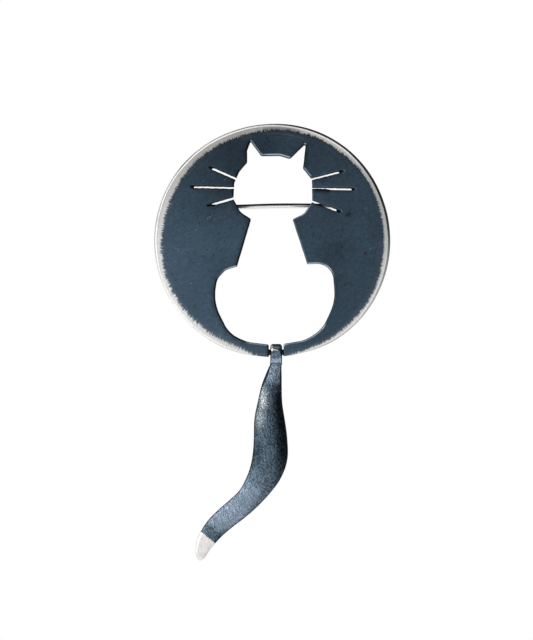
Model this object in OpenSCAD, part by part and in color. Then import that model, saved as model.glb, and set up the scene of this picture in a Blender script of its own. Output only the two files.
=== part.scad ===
// Round brooch, with a sitting cat cut right through a shallow dome and a tail that swings below it.
// It stands as it is worn: X to the right, Y back towards the cloth, Z up, in millimetres.
// The origin is on the axis of the pin wire, straight above the middle of the disc.

/* [Disc] */
// Diameter of the disc
disc_d = 48; // [47:0.5:50]
// Thickness of the plate
plate_t = 1.2; // [1:0.1:1.4]
// Radius of the shallow dome, at the middle of the plate's thickness
dome_r = 130; // [110:5:180]
// Height of the pin wire above the middle of the disc
pin_rise = 7.5; // [7.2:0.1:7.8]
// Distance that the disc's rim lies in front of the pin wire
pin_off = 3.7; // [3.5:0.1:4.2]

/* [Hinge of the tail] */
// Sideways place of the hinge
hinge_x = 0.8; // [0.7:0.1:0.9]
// Height of the hinge wire above the lowest point of the disc
hinge_rise = 1.2; // [1.1:0.1:1.4]
// Diameter of the hinge wire
hinge_d = 1.2; // [1:0.1:1.3]
// Length of the hinge wire
hinge_l = 7; // [7:0.5:10]
// Width of the slot in the disc
slot_w = 3; // [2.9:0.1:3.2]
// Gap all round between the hinge wire and the roll of the tail
hinge_gap = 0.06; // [0.04:0.01:0.08]

/* [Tail] */
// Distance from the hinge down to the tip
tail_l = 41.8; // [38:0.2:44]
// Width of the strip where it is rolled
strip_w = 2.4; // [2.2:0.1:2.4]
// Thickness of the strip where it is rolled
strip_t = 1.04; // [0.9:0.02:1.1]
// How far round the hinge wire the strip is rolled
roll_angle = 225; // [200:5:240]
// Rise of the crown across the tail, for each millimetre that it is wider than the strip
crown = 0.28; // [0:0.02:0.32]

/* [Pin] */
// Diameter of the pin wire
pin_d = 1; // [0.8:0.1:1]
// Distance from the middle of the disc out to the pin's pivot
pivot_x = 17.5; // [17:0.1:17.8]
// Distance from the middle of the disc out to the start of the pin's point
point_x = 13; // [11:0.5:14]
// Distance from the middle of the disc out to the tip of the pin
tip_x = 19.6; // [19:0.1:20]
// Distance from the middle of the disc out to the catch
catch_x = 17; // [16.5:0.1:17.2]
// Diameter of the pin's rivet
rivet_d = 0.9; // [0.8:0.1:1]

/* [Hidden] */

$fn = 64;
fine = 240; // facets of the dome and the rim
arc_steps = 8; // steps in each rounded corner of the cat
tail_steps = 3; // steps between two rows of the tail's table
deep = 12; // depth of a cut that goes right through

disc_r = disc_d / 2;
disc_z = -pin_rise;
rim_y = -pin_off;
// The edge of the plate is a full round, whose middle is here
edge_r = disc_r - plate_t / 2;
dome_back = sqrt(dome_r * dome_r - edge_r * edge_r);

hinge_z = disc_z - disc_r + hinge_rise;
bore_r = hinge_d / 2 + hinge_gap;
solder = 0.3; // how deep the solder joins a wire or a pad to the plate
hinge_y = rim_y + plate_t / 2 + hinge_d / 2 - solder;

// The cat as it faces the viewer, for a disc of drawn_d: x, height above the disc's middle, corner radius
drawn_d = 48;
cat = [
    [-4.45, 20.4, 0.25], // tip of the left ear
    [-5.2, 18.25, 2],
    [-5.2, 15.8, 0.3], // left ear meets the head
    [-6.8, 13.85, 3],
    [-7.8, 11.5, 2],
    [-7.95, 8.1, 1.5],
    [-6.5, 5.35, 2.5],
    [-4.4, 3.95, 0.15], // left side of the neck
    [-7.2, -5.5, 0.15], // left side of the waist
    [-9.5, -6.15, 2.5],
    [-11.2, -8.05, 2.5],
    [-12, -12.6, 9],
    [-8.85, -19, 6],
    [-5.2, -20.85, 8],
    [0.6, -21.55, 0.1],
    [6.8, -20.5, 7],
    [10.25, -18.1, 7],
    [12.8, -12.55, 9],
    [12.2, -4.75, 3.4],
    [7.15, -5, 0.15], // right side of the waist
    [4.25, 3.9, 0.15], // right side of the neck
    [6.45, 5, 2.5],
    [8.2, 7.55, 1.5],
    [8.15, 12.25, 0.8],
    [6.35, 14.55, 0.4], // right ear meets the head
    [6.95, 20, 0.3], // tip of the right ear
    [3.6, 16.6, 0.5],
    [1.5, 17.25, 2],
    [-2.2, 17.2, 0.5],
];

// The whiskers, for a disc of drawn_d: x and height of the outer end, direction from there in degrees,
// length, width
whiskers = [
    [-12.35, 14.6, -24.8, 5.6, 0.6],
    [-16, 10.72, -2.2, 8.8, 0.55],
    [-12.7, 6.84, 16.4, 5.8, 0.64],
    [14.15, 13.9, 195.3, 7, 0.55],
    [16.4, 10.24, 180, 9, 0.6],
    [13.6, 5.6, 159.9, 6.8, 0.6],
];

// The tail: x from the hinge, drop below the hinge, half the width, depth behind the hinge, thickness
leg_y = bore_r + strip_t / 2;
leg_l = 1.2; // straight stretch of the strip below its roll
sunk = 0.03; // how far the tail's upper end lies inside that stretch all round
drawn_tail_l = 41.8;
tail_rows = [
    [0, 0.5, strip_w / 2 - sunk, leg_y, strip_t - 2 * sunk],
    [0, 1.6, strip_w / 2 - sunk, leg_y, strip_t - 2 * sunk],
    [-0.1, 2.7, strip_w / 2, 1.05, 1],
    [-0.5, 4.7, 1.65, 0.9, 1],
    [-0.95, 7.2, 2.1, 0.65, 1.1],
    [-1.25, 10.2, 2.5, 0.45, 1.2],
    [-1.35, 13.7, 3.1, 0.35, 1.2],
    [-1.15, 17.7, 3.4, 0.26, 1.2],
    [-1.27, 21.2, 3.55, 0.22, 1.2],
    [-2.15, 24.2, 3.3, 0.2, 1.2],
    [-3.65, 26.9, 2.85, 0.18, 1.2],
    [-5.5, 29.4, 2.45, 0.17, 1.15],
    [-7.75, 31.5, 2.35, 0.15, 1.1],
    [-10.2, 33.5, 2.25, 0.13, 1.1],
    [-12.4, 35.6, 2.1, 0.05, 1.1],
    [-14.2, 38.1, 1.75, 0, 1.1],
    [-14.9, 39.8, 1.3, -0.1, 1],
    [-15.2, 41, 0.9, -0.2, 0.9],
    [-15.3, 41.8, 0.3, -0.25, 0.6],
];
// Across the tail: place from the left edge at -1 to the right edge at 1, share of the thickness there
across = [[-1, 0.45], [-0.85, 0.85], [-0.5, 1], [0, 1], [0.5, 1], [0.85, 0.85], [1, 0.45]];

eye_r = 1.05;
eye_w = 1.4; // width of the pin's eye along its rivet
ear_gap = 0.05; // gap between the eye and each ear of the bracket
ear_t = 0.6;
ear_out = eye_w / 2 + ear_gap + ear_t; // distance from the middle to an ear's outer face
pivot_gap = 0.05; // gap all round between the rivet and the eye
rivet_gap = 0.03; // gap between the rivet and the bracket
head_r = 0.8;
head_t = 0.35;
shoulder_r = 0.68; // thicker stretch of the pin next to its eye
shoulder_l = 1.9;
tip_r = 0.15;
pad_l = 3; // length of a soldered pad
pad_t = 0.5; // how far a pad stands behind the plate
catch_l = 2;
catch_r = 0.62; // inside radius of the catch
catch_wall = 0.5;
catch_lip = 0.9; // how far the catch's two lips reach behind the pin's axis
stalk_w = 1.1;

// Depth of the middle of the plate at a place on the disc
function plate_y(x, z) =
    rim_y + dome_back - sqrt(dome_r * dome_r - x * x - (z - disc_z) * (z - disc_z));

// The points of one rounded corner b between its neighbours a and c
function unit(v) = v / norm(v);
function at(p) = [p[0], p[1]];
function corner(a, b, c, r) =
    let (
        to_a = unit(a - b),
        to_c = unit(c - b),
        half = acos(to_a * to_c) / 2,
        middle = b + unit(to_a + to_c) * r / sin(half),
        start = b + to_a * r / tan(half) - middle,
        turn = sign(to_a[0] * to_c[1] - to_a[1] * to_c[0]) * (2 * half - 180)
    )
    [for (i = [0:arc_steps])
        let (t = turn * i / arc_steps)
        middle + [start[0] * cos(t) - start[1] * sin(t), start[0] * sin(t) + start[1] * cos(t)]];
function rounded(rows) =
    let (n = len(rows))
    [for (i = [0:n - 1])
        each corner(at(rows[(i + n - 1) % n]), at(rows[i]), at(rows[(i + 1) % n]), rows[i][2])];

// A row of the tail's table at any place t along it, on a smooth curve through the rows
function tail_row(i) = tail_rows[max(0, min(len(tail_rows) - 1, i))];
function along(t) =
    let (
        i = min(floor(t), len(tail_rows) - 2),
        f = t - i,
        p = tail_row(i - 1),
        q = tail_row(i),
        r = tail_row(i + 1),
        s = tail_row(i + 2)
    )
    q + f * ((r - p) + f * ((2 * p - 5 * q + 4 * r - s) + f * (3 * q - p - 3 * r + s))) / 2;
tail_ends = len(tail_rows) - 1;
rings = tail_ends * tail_steps;
tail_k = tail_l / drawn_tail_l;

// One ring of the tail's skin, square to the line of the tail: the front from left to right, then the back
function ring(t) =
    let (
        row = along(t),
        ahead = along(min(tail_ends, t + 0.05)) - along(max(0, t - 0.05)),
        line = unit([ahead[0], -ahead[1]]),
        side = [-line[1], line[0]],
        bow = crown * max(0, row[2] - strip_w / 2)
    )
    [for (face = [-1, 1])
        for (k = [0:len(across) - 1])
            let (
                a = across[face < 0 ? k : len(across) - 1 - k],
                out = a[0] * row[2]
            )
            [
                row[0] + out * side[0],
                row[3] + face * a[1] * row[4] / 2 - bow * (1 - a[0] * a[0]),
                -row[1] * tail_k + out * side[1],
            ]];

module tail_skin() {
    n = 2 * len(across);
    points = [for (i = [0:rings]) each ring(i / tail_steps)];
    walls = [
        for (i = [0:rings - 1])
            for (k = [0:n - 1])
                let (a = i * n + k, b = i * n + (k + 1) % n)
                each [[a, b, b + n], [a, b + n, a + n]]
    ];
    top = [for (k = [1:n - 2]) [0, k + 1, k]];
    bottom = [for (k = [1:n - 2]) [rings * n, rings * n + k, rings * n + k + 1]];
    polyhedron(points = points, faces = concat(walls, top, bottom));
}

// Turns a drawing of x and height into a solid that runs from front to back
module front_to_back(depth) {
    rotate([90, 0, 0]) linear_extrude(height = depth, center = true) children();
}

// The domed plate: the stretch between two spheres, out to its full round edge
module dome() {
    translate([0, rim_y, disc_z])
    rotate([90, 0, 0])
    rotate_extrude($fn = fine) {
        intersection() {
            translate([0, -dome_back]) difference() {
                circle(r = dome_r + plate_t / 2, $fn = 2 * fine);
                circle(r = dome_r - plate_t / 2, $fn = 2 * fine);
            }
            polygon([[0, -dome_back], [2 * edge_r, dome_back], [0, dome_back]]);
        }
        translate([edge_r, 0]) circle(r = plate_t / 2);
    }
}

module whisker(row) {
    translate([row[0], row[1]]) rotate(row[2]) translate([row[4] / 2, 0]) {
        circle(d = row[4]);
        translate([0, -row[4] / 2]) square([row[3], row[4]]);
    }
}

// Everything that is cut through the plate: the cat, its whiskers and the slot for the tail
module cuts() {
    translate([0, rim_y, disc_z]) front_to_back(deep) {
        scale(disc_d / drawn_d) {
            polygon(rounded(cat));
            for (row = whiskers) whisker(row);
        }
        translate([hinge_x - slot_w / 2, -disc_r - hinge_rise]) square([slot_w, 2 * hinge_rise + strip_w]);
    }
}

module hinge_wire() {
    translate([hinge_x, hinge_y, hinge_z])
    rotate([0, 90, 0])
    cylinder(d = hinge_d, h = hinge_l, center = true);
}

// A flat pad soldered to the back of the plate, from the middle of the solder back to its own face
module pad(x, length, width) {
    start = plate_y(x, 0) + plate_t / 2 - solder - pad_t / 2;
    translate([x - length / 2, start, -width / 2]) cube([length, pad_t / 2 + solder + pad_t, width]);
}

// The pin joint's bracket: a pad with two ears that hold the rivet
module bracket() {
    foot = plate_y(-pivot_x, 0) + plate_t / 2;
    pad(-pivot_x, pad_l, 2 * ear_out);
    for (side = [-1, 1])
        translate([-pivot_x, 0, side * (ear_out - ear_t / 2)])
        linear_extrude(height = ear_t, center = true)
        difference() {
            union() {
                circle(r = eye_r);
                translate([-eye_r, foot]) square([2 * eye_r, -foot]);
            }
            circle(r = rivet_d / 2 + rivet_gap);
        }
}

// The catch: a trough on a stalk, open to the back, so that the pin swings straight into it
module catch() {
    foot = plate_y(catch_x, 0) + plate_t / 2;
    pad(catch_x, catch_l, 2 * ear_out);
    translate([catch_x, 0, 0])
    rotate([90, 0, 90])
    linear_extrude(height = catch_l, center = true)
    difference() {
        union() {
            circle(r = catch_r + catch_wall);
            translate([0, -catch_r - catch_wall]) square([catch_lip, 2 * (catch_r + catch_wall)]);
            translate([foot, -stalk_w / 2]) square([-foot, stalk_w]);
        }
        circle(r = catch_r);
        translate([0, -catch_r]) square([2 * catch_lip, 2 * catch_r]);
    }
}

// The upper end of the tail: the strip as it is rolled round the hinge wire, and a short leg below
module roll() {
    rotate([90, 0, 90]) {
        rotate_extrude(angle = roll_angle) translate([bore_r, -strip_w / 2]) square([strip_t, strip_w]);
        translate([bore_r, -leg_l, -strip_w / 2]) cube([strip_t, leg_l, strip_w]);
    }
}

module disc() {
    color([0.2, 0.26, 0.31]) {
        difference() {
            dome();
            cuts();
        }
        hinge_wire();
        bracket();
        catch();
    }
}

module tail() {
    color([0.38, 0.45, 0.51])
    translate([hinge_x, hinge_y, hinge_z]) {
        roll();
        tail_skin();
    }
}

module pin_stem() {
    color([0.78, 0.76, 0.75])
    translate([-pivot_x, 0, 0])
    difference() {
        union() {
            cylinder(r = eye_r, h = eye_w, center = true);
            rotate([0, 90, 0]) {
                cylinder(r = shoulder_r, h = shoulder_l);
                cylinder(d = pin_d, h = pivot_x + point_x);
                translate([0, 0, pivot_x + point_x]) cylinder(r1 = pin_d / 2, r2 = tip_r, h = tip_x - point_x);
                translate([0, 0, pivot_x + tip_x]) sphere(r = tip_r);
            }
        }
        cylinder(r = rivet_d / 2 + pivot_gap, h = 2 * eye_w, center = true);
    }
}

module pin_rivet() {
    color([0.72, 0.71, 0.7])
    translate([-pivot_x, 0, 0]) {
        cylinder(d = rivet_d, h = 2 * (ear_out + rivet_gap), center = true);
        for (side = [0, 1])
            mirror([0, 0, side])
            translate([0, 0, ear_out + rivet_gap])
            cylinder(r = head_r, h = head_t);
    }
}

disc();
tail();
pin_stem();
pin_rivet();
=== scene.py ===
"""The looks of the cat brooch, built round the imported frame: metal surfaces, floor, light and camera.

Lengths in the tables are millimetres, as on a jeweller's drawing, and MM turns them into metres.
"""
from math import acos, asin, ceil, copysign, cos, degrees, pi, radians, sin, sqrt, tan

import bmesh
import bpy
import numpy as np
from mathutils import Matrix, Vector, noise
from mathutils.geometry import delaunay_2d_cdt


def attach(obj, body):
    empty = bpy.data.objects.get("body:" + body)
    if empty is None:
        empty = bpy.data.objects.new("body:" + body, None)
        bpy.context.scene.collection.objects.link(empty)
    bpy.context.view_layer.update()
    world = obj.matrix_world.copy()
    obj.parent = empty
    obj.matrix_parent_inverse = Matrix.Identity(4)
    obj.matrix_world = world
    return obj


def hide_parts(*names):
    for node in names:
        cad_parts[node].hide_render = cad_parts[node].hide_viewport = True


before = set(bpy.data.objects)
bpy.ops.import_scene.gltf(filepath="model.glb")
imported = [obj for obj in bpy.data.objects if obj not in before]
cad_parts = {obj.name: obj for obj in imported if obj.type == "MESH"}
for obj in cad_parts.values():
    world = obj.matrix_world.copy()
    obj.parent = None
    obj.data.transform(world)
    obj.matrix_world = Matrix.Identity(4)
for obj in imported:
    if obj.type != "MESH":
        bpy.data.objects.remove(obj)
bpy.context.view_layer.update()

MM = 0.001
scene = bpy.context.scene

# Sizes, as in the part's source
DISC_R, PLATE_T, DOME_R = 24.0, 1.2, 130.0
DISC_Z, RIM_Y = -7.5, -3.7
HALF_T = PLATE_T / 2
EDGE_R = DISC_R - HALF_T
DOME_BACK = sqrt(DOME_R ** 2 - EDGE_R ** 2)
HINGE = Vector((0.8, -2.8, -30.3))
WIRE_R, BORE_R, SLOT_W, WIRE_HALF = 0.6, 0.66, 3.0, 3.5
STRIP_W, STRIP_T, ROLL = 2.4, 1.04, 225.0
PIVOT_X, POINT_X, TIP_X, CATCH_X, PIN_R = 17.5, 13.0, 19.6, 17.0, 0.5
EYE_R, EYE_W, EAR_GAP, EAR_T, RIVET_R = 1.05, 1.4, 0.05, 0.6, 0.45
EAR_OUT = EYE_W / 2 + EAR_GAP + EAR_T

# Sizes of the finish
SOFT_EDGE = 0.28                        # radius of the filed edge round each cut
INSET = 0.11                            # the saw cuts end this far inside the drawn outline
LEAN = 1 + HALF_T / DOME_R              # cuts run square to the dome, so they narrow towards its back
ROLL_SOFT, STRIP_SOFT = 0.62, 0.16      # radius of the knuckle's and the strip's edges
RIM_POINTS, GRID = 480, 1.1             # points round the rim, and the step between those on the face
ROLL_RINGS = 41                         # rings of points round the tail's roll
SUNK = 0.3                              # depth of the sunk start of each whisker's saw cut
SLIVER = 4                              # the whisker along whose lower side a sliver of metal is left

# The cat: x, height above the disc's middle, corner radius
CAT = [
    (-4.45, 20.4, 0.25), (-5.2, 18.25, 2), (-5.2, 15.8, 0.3), (-6.8, 13.85, 3), (-7.8, 11.5, 2),
    (-7.95, 8.1, 1.5), (-6.5, 5.35, 2.5), (-4.4, 3.95, 0.15), (-7.2, -5.5, 0.15), (-9.5, -6.15, 2.5),
    (-11.2, -8.05, 2.5), (-12, -12.6, 9), (-8.85, -19, 6), (-5.2, -20.85, 8), (0.6, -21.55, 0.1),
    (6.8, -20.5, 7), (10.25, -18.1, 7), (12.8, -12.55, 9), (12.2, -4.75, 3.4), (7.15, -5, 0.15),
    (4.25, 3.9, 0.15), (6.45, 5, 2.5), (8.2, 7.55, 1.5), (8.15, 12.25, 0.8), (6.35, 14.55, 0.4),
    (6.95, 20, 0.3), (3.6, 16.6, 0.5), (1.5, 17.25, 2), (-2.2, 17.2, 0.5),
]
# The whiskers: x and height of the outer end, direction inwards in degrees, length, width, and how far
# the sloping start of the saw cut runs before it is through
WHISKERS = [
    (-12.35, 14.6, -24.8, 5.6, 0.6, 0.15), (-16, 10.72, -2.2, 8.8, 0.55, 0.12),
    (-12.7, 6.84, 16.4, 5.8, 0.64, 0.4), (14.15, 13.9, 195.3, 7, 0.55, 0.55), (16.4, 10.24, 180, 9, 0.6, 0.3),
    (13.6, 5.6, 159.9, 6.8, 0.6, 0.65),
]
# The rim by clock angle in degrees: radius where its worn silver begins, radius where the edge turns
# black, how black (painted shade), how bright the burnished line (polish and painted highlight), tone of
# the silver and of the patina inside it (both partly painted light and shade), how far it strays outwards
BAND = [
    (-180, 24.6, 23.9, 0, 0, 0.95, 1, -0.2), (-172, 24.15, 23.9, 0, 0, 0.95, 1, -0.22),
    (-166, 23.3, 23.85, 0.2, 0.1, 0.95, 1, -0.1), (-155, 22.87, 23.8, 0.4, 0.5, 0.95, 1.06, 0),
    (-140, 22.78, 23.8, 0.15, 0.4, 1, 1.04, 0), (-125, 22.85, 23.8, 0, 0.5, 1.08, 1.06, 0),
    (-110, 22.95, 23.8, 0, 0.4, 0.98, 1, 0), (-95, 22.68, 23.7, 0.12, 0.12, 0.95, 1, -0.02),
    (-80, 22.42, 23.55, 0.22, 0, 0.88, 0.9, -0.04), (-65, 22.22, 23.68, 0.2, 0.15, 0.93, 0.77, -0.05),
    (-50, 22.46, 23.6, 0.95, 1, 0.88, 0.67, -0.05), (-35, 22.46, 23.62, 0.65, 1, 0.72, 0.6, -0.11),
    (-20, 22.45, 23.59, 0.8, 1, 0.6, 0.55, -0.18), (-5, 22.68, 23.61, 0.85, 0.7, 0.67, 0.67, -0.12),
    (10, 22.67, 23.46, 1, 0.65, 0.79, 0.94, 0.05), (25, 22.69, 23.38, 1, 0.7, 1, 0.97, 0.19),
    (40, 22.58, 23.4, 1, 0.7, 1.2, 0.97, 0.22), (55, 22.81, 23.33, 1, 0, 0.9, 1.17, 0.14),
    (70, 22.69, 23.33, 1, 0, 0.78, 1.06, 0.02), (85, 22.7, 23.37, 0.95, 0, 0.81, 1.2, -0.04),
    (100, 22.72, 23.43, 0.65, 0.2, 0.94, 1.15, -0.02), (115, 22.97, 23.55, 0.5, 0.3, 1.03, 1.04, -0.01),
    (130, 23.1, 23.63, 0.4, 0.3, 1.04, 0.88, 0.08), (142, 23.19, 23.7, 0.45, 0.4, 1.02, 0.87, 0.05),
    (150, 23.34, 23.7, 0.5, 0.3, 0.97, 0.9, 0), (158, 23.42, 23.75, 0.4, 0.25, 0.95, 0.95, -0.13),
    (165, 23.66, 23.85, 0.2, 0.1, 0.95, 0.97, -0.24), (171, 23.98, 23.9, 0, 0, 0.95, 0.97, -0.25),
    (175, 24.5, 23.9, 0, 0, 0.95, 1, -0.22), (180, 24.6, 23.9, 0, 0, 0.95, 1, -0.2),
]
# The tail: x from the hinge, drop below it, half the width, depth behind it, thickness
TAIL = [
    (0, 0, 1.2, 1.18, 1.04), (0, 0.9, 1.2, 1.18, 1.04), (0, 1.6, 1.2, 1.22, 1.03),
    (-0.02, 2.15, 1.2, 1.22, 1.02), (-0.1, 2.7, 1.2, 1.06, 1), (-0.5, 4.7, 1.65, 0.9, 1),
    (-0.95, 7.2, 2.1, 0.65, 1.1), (-1.25, 10.2, 2.5, 0.45, 1.2), (-1.35, 13.7, 3.1, 0.35, 1.2),
    (-1.15, 17.7, 3.4, 0.26, 1.2), (-1.27, 21.2, 3.55, 0.22, 1.2), (-2.15, 24.2, 3.3, 0.2, 1.2),
    (-3.65, 26.9, 2.85, 0.18, 1.2), (-5.5, 29.4, 2.45, 0.17, 1.15), (-7.75, 31.5, 2.35, 0.15, 1.1),
    (-10.2, 33.5, 2.25, 0.13, 1.1), (-12.4, 35.6, 2.1, 0.05, 1.1), (-14.2, 38.1, 1.75, 0, 1.1),
    (-14.9, 39.8, 1.36, -0.1, 1), (-15.17, 41, 0.95, -0.2, 0.9), (-15.27, 41.55, 0.62, -0.24, 0.75),
    (-15.3, 41.8, 0.3, -0.25, 0.5),
]
# The blade's crown: drop, how much its middle stands forward for each millimetre of half width, turn in
# degrees; CROWN is the source's own
BLADE = [(0, 0.28, 0), (4.7, 0.5, 0), (7.2, 0.58, 4), (10.2, 0.58, 5), (13.7, 0.5, 5), (17.7, 0.46, 5),
         (24, 0.4, 4), (29, 0.34, 2), (36, 0.3, 0), (42, 0.3, 0)]
CROWN = 0.28
# Marks on the face of the disc: x, z, radius, kind (0 dark pit, 1 pale speck, 2 rust)
MARKS = [
    (-1.0, 13.3, 0.22, 0), (-0.7, 12.6, 0.2, 0), (-1.3, 12.1, 0.22, 0), (-0.6, 11.4, 0.16, 0),
    (-1.9, 10.9, 0.14, 0), (6.3, 12.6, 0.14, 0), (8.1, 11.9, 0.16, 0), (-8.6, 12.4, 0.12, 0),
    (15.05, -2.6, 0.24, 0), (15.6, -2.35, 0.22, 0), (19.4, -7.3, 0.14, 0), (17.95, -8.05, 0.12, 0),
    (12.6, -4.0, 0.12, 0), (10.4, -14.6, 0.14, 0), (19.4, -17.5, 0.12, 0), (-13.5, -3.3, 0.16, 0),
    (-12.6, -2.6, 0.16, 0), (-15.4, -5.7, 0.1, 1), (-18.8, -5.6, 0.08, 1), (-14.95, -12.6, 0.1, 1),
    (-16.4, -16.5, 0.1, 1), (19.87, -9.35, 0.13, 1), (-9.6, 4.6, 0.1, 1), (11.6, 2.9, 0.09, 1),
    (7.7, -2.9, 0.1, 1), (-14.75, -4.3, 0.2, 2), (-14.3, -4.05, 0.14, 2), (18.85, -10.35, 0.34, 2),
    (9.6, 4.2, 0.1, 2), (9.0, 1.4, 0.09, 2), (-14.2, -2.35, 0.12, 2), (-14.35, -1.85, 0.09, 2),
]
MARK_COLOURS = ((0.016, 0.022, 0.030), (0.26, 0.32, 0.37), (0.080, 0.038, 0.028))
# Fine lines on it, each through three places (x, z): width, strength, kind (0 dark, 1 pale)
LINES = [
    (12.95, -2.8, 14.2, -5.0, 12.95, -8.1, 0.1, 0.7, 0), (9.4, -9.75, 12.1, -8.6, 14.8, -8.85, 0.11, 0.75, 0),
    (8.4, -5.5, 8.2, -7.3, 7.75, -9.1, 0.1, 0.65, 0), (10.45, -3.6, 10.15, -5.6, 9.3, -8.2, 0.1, 0.55, 0),
    (11.2, -6.7, 12.6, -6.3, 13.7, -5.4, 0.09, 0.5, 0), (21.3, -8.9, 20.65, -10.9, 20.4, -12.5, 0.11, 0.6, 0),
    (19.05, -14.8, 18.65, -16.9, 16.75, -18.5, 0.1, 0.45, 0),
    (-15.4, -1.6, -15.25, -2.5, -15, -3.4, 0.15, 0.6, 0),
    (-13.4, -3.5, -12.75, -3.1, -12.1, -2.65, 0.13, 0.6, 1),
    (-11.9, -3.65, -10.7, -3.2, -9.5, -2.85, 0.08, 0.5, 1),
    (-20.2, -9.2, -17.3, -9.55, -14.5, -9.1, 0.1, 0.3, 1), (-1.4, 14.2, 2.6, 14.1, 6.6, 13.1, 0.16, 0.28, 1),
    (-0.5, 13.4, 3.0, 13.4, 5.8, 12.6, 0.12, 0.2, 1), (15.6, 0.5, 18.0, -0.6, 19.6, -2.6, 0.1, 0.25, 1),
]
LINE_COLOURS = ((0.024, 0.036, 0.050), (0.24, 0.30, 0.35))
# Rusty spots on the tail's neck: x, z, radius
RUST = [(-0.1, -34.45, 0.16), (0.75, -34.0, 0.18), (0.2, -35.2, 0.14), (0.75, -36.05, 0.2),
        (0.1, -36.3, 0.14)]
# Painted highlights (glints) on the knuckle: x, z, width, height
GLINTS = [(-0.08, -29.3, 0.2, 0.3), (-0.04, -29.8, 0.22, 0.28), (0.42, -29.92, 0.4, 0.19),
          (0.95, -30.0, 0.3, 0.15)]


def smooth(a, b, x):
    """0 at a and 1 at b, with a soft rise between them."""
    t = np.clip((x - a) / (b - a), 0, 1)
    return t * t * (3 - 2 * t)


def unit(v):
    v = np.asarray(v, float)
    return v / np.linalg.norm(v, axis=-1, keepdims=True)


def bell(x, middle, wide):
    """1 in the middle, falling softly to 0 on both sides."""
    return np.exp(-((x - middle) / wide) ** 2)


def ripple(*place):
    """Smooth noise at a place, about 0."""
    return noise.noise(Vector(place))


def add_object(name, data):
    obj = bpy.data.objects.new(name, data)
    scene.collection.objects.link(obj)
    return obj


def make(name, skin, body, node, material, normals=None, attributes=None, sharp=None):
    """A piece from points in millimetres and faces, riding on a body and standing for a CAD node."""
    verts, faces = skin
    mesh = bpy.data.meshes.new(name)
    mesh.from_pydata([tuple(float(c) * MM for c in v) for v in verts], [], [tuple(f) for f in faces])
    mesh.validate()
    obj = add_object(name, mesh)
    for key, values in (attributes or {}).items():
        mesh.attributes.new(key, "FLOAT", "POINT").data.foreach_set("value", np.asarray(values, np.float32))
    mesh.polygons.foreach_set("use_smooth", [True] * len(mesh.polygons))
    mesh.materials.append(material)
    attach(obj, body)
    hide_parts(node)
    if normals is None:
        bm = bmesh.new()
        bm.from_mesh(mesh)
        bmesh.ops.recalc_face_normals(bm, faces=bm.faces)
        bm.to_mesh(mesh)
        bm.free()
    else:
        mesh.normals_split_custom_set_from_vertices([tuple(n) for n in normals])
    if sharp:
        mesh.set_sharp_from_angle(angle=radians(sharp))
    return obj


def bevel(obj, width, segments):
    """Rounds the sharp edges of a finished piece for good."""
    mod = obj.modifiers.new("soft", "BEVEL")
    mod.width, mod.segments = width * MM, segments
    mod.limit_method, mod.angle_limit = "ANGLE", radians(40)
    mesh = bpy.data.meshes.new_from_object(obj.evaluated_get(bpy.context.evaluated_depsgraph_get()))
    obj.modifiers.clear()
    obj.data = mesh
    mesh.polygons.foreach_set("use_smooth", [True] * len(mesh.polygons))
    mesh.set_sharp_from_angle(angle=radians(50))


class Out:
    """What comes out of a shader node. Sums of such outputs add the maths nodes for them."""

    def __init__(self, n, socket):
        self.n, self.socket = n, socket

    def __add__(self, other):
        return self.n.math("ADD", self, other)

    def __sub__(self, other):
        return self.n.math("SUBTRACT", self, other)

    def __rsub__(self, other):
        return self.n.math("SUBTRACT", other, self)

    def __mul__(self, other):
        return self.n.math("MULTIPLY", self, other)

    def __abs__(self):
        return self.n.math("ABSOLUTE", self)

    def ramp(self, low, high, to_low=0.0, to_high=1.0, kind="SMOOTHSTEP"):
        """Goes softly from to_low to to_high while this goes from low to high."""
        return self.n.add("MapRange", self, low, high, to_low, to_high, interpolation_type=kind)

    def fade(self, low, high):
        return self.ramp(low, high, 1.0, 0.0)

    def others(self):
        """All the outputs of the same node."""
        return [Out(self.n, socket) for socket in self.socket.node.outputs]


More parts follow.
